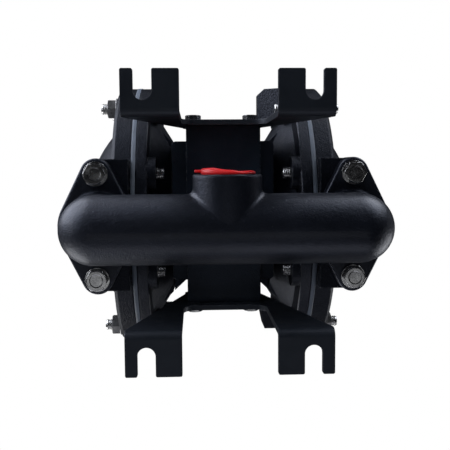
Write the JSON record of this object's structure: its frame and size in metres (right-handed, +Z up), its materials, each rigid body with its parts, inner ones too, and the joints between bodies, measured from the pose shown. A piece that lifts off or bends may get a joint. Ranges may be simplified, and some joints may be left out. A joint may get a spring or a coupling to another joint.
{
  "type": "air operated diaphragm pump",
  "caption": "Air operated double diaphragm pump with threaded inlet and outlet pipes, clamped round chambers, check balls, air valve and slotted sheet feet.",
  "frame": {"origin": "centre of the footprint, on the plane the four feet stand on", "axes": "+Z up, X along the diaphragm shaft, the inlet and outlet ports face -Y"},
  "size_m": [0.22, 0.2026, 0.324],
  "materials": {
    "cast_black": "semi-gloss black powder coat on an aluminium casting",
    "bracket_black": "satin black powder coat on bent steel sheet",
    "bolt_steel": "bright zinc plated steel",
    "diaphragm_rubber": "matte grey-blue rubber",
    "seal_rubber": "matte black rubber",
    "gasket_fibre": "fibre gasket sheet",
    "plate_steel": "turned steel",
    "shaft_steel": "ground and plated steel",
    "bronze": "turned brass and sintered bronze",
    "seat_plastic": "matte engineering plastic",
    "ball_white": "smooth white fluoropolymer",
    "valve_metal": "anodised aluminium",
    "plate_blank": "blank brushed aluminium plate",
    "plug_red": "soft red plastic"
  },
  "bodies": {
    "root": {"air_cap_gaskets": "gasket_fibre", "air_cap_screws": "bolt_steel", "air_inlet_bush": "bronze", "bracket_bolts": "bolt_steel", "bracket_washers": "bolt_steel", "centre_body": "cast_black", "chamber_nuts": "bolt_steel", "chamber_studs": "bolt_steel", "chamber_washers": "bolt_steel", "front_bracket": "bracket_black", "grounding_screw": "bolt_steel", "left_air_cap": "cast_black", "left_diaphragm": "diaphragm_rubber", "left_fluid_cap": "cast_black", "lower_manifold": "cast_black", "lower_valve_seats": "seat_plastic", "manifold_bolts": "bolt_steel", "manifold_washers": "bolt_steel", "name_plate": "plate_blank", "name_plate_rivets": "plate_blank", "pilot_bushes": "bronze", "rear_bracket": "bracket_black", "right_air_cap": "cast_black", "right_diaphragm": "diaphragm_rubber", "right_fluid_cap": "cast_black", "seat_o_rings": "seal_rubber", "shaft_bushes": "bronze", "shaft_seals": "seal_rubber", "silencer_body": "bronze", "silencer_disc": "bronze", "upper_manifold": "cast_black", "upper_valve_seats": "seat_plastic", "valve_block": "cast_black", "valve_block_gasket": "gasket_fibre", "valve_block_screws": "bolt_steel", "valve_end_plugs": "bolt_steel", "valve_sleeve": "valve_metal"},
    "shaft": {"diaphragm_shaft": "shaft_steel", "left_inner_plate": "plate_steel", "right_inner_plate": "plate_steel", "left_outer_plate": "plate_steel", "right_outer_plate": "plate_steel", "shaft_nuts": "bolt_steel"},
    "pilot": {"pilot_rod": "shaft_steel"},
    "spool": {"valve_spool": "valve_metal", "spool_seals": "seal_rubber"},
    "ball_lower_left": {"lower_left_ball": "ball_white"},
    "ball_lower_right": {"lower_right_ball": "ball_white"},
    "ball_upper_left": {"upper_left_ball": "ball_white"},
    "ball_upper_right": {"upper_right_ball": "ball_white"},
    "plug": {"inlet_plug": "plug_red"}
  },
  "joints": [
    {"name": "shaft_slide", "type": "slide", "parent": "root", "child": "shaft", "axis": [1, 0, 0], "range_m": [-0.009, 0.009], "deforming": ["left_diaphragm", "right_diaphragm"]},
    {"name": "pilot_slide", "type": "slide", "parent": "root", "child": "pilot", "axis": [1, 0, 0], "range_m": [-0.0045, 0.0045]},
    {"name": "spool_slide", "type": "slide", "parent": "root", "child": "spool", "axis": [1, 0, 0], "range_m": [-0.004, 0.004]},
    {"name": "lower_left_ball_lift", "type": "slide", "parent": "root", "child": "ball_lower_left", "axis": [0, 0, 1], "range_m": [0, 0.009]},
    {"name": "lower_right_ball_lift", "type": "slide", "parent": "root", "child": "ball_lower_right", "axis": [0, 0, 1], "range_m": [0, 0.009]},
    {"name": "upper_left_ball_lift", "type": "slide", "parent": "root", "child": "ball_upper_left", "axis": [0, 0, 1], "range_m": [0, 0.009]},
    {"name": "upper_right_ball_lift", "type": "slide", "parent": "root", "child": "ball_upper_right", "axis": [0, 0, 1], "range_m": [0, 0.009]},
    {"name": "inlet_plug_pull", "type": "slide", "parent": "root", "child": "plug", "axis": [0, -1, 0], "range_m": [0, 0.08]}
  ],
  "couplings": [
    {"joint": "pilot_slide", "follows": "shaft_slide", "ratio": 0.5}
  ]
}
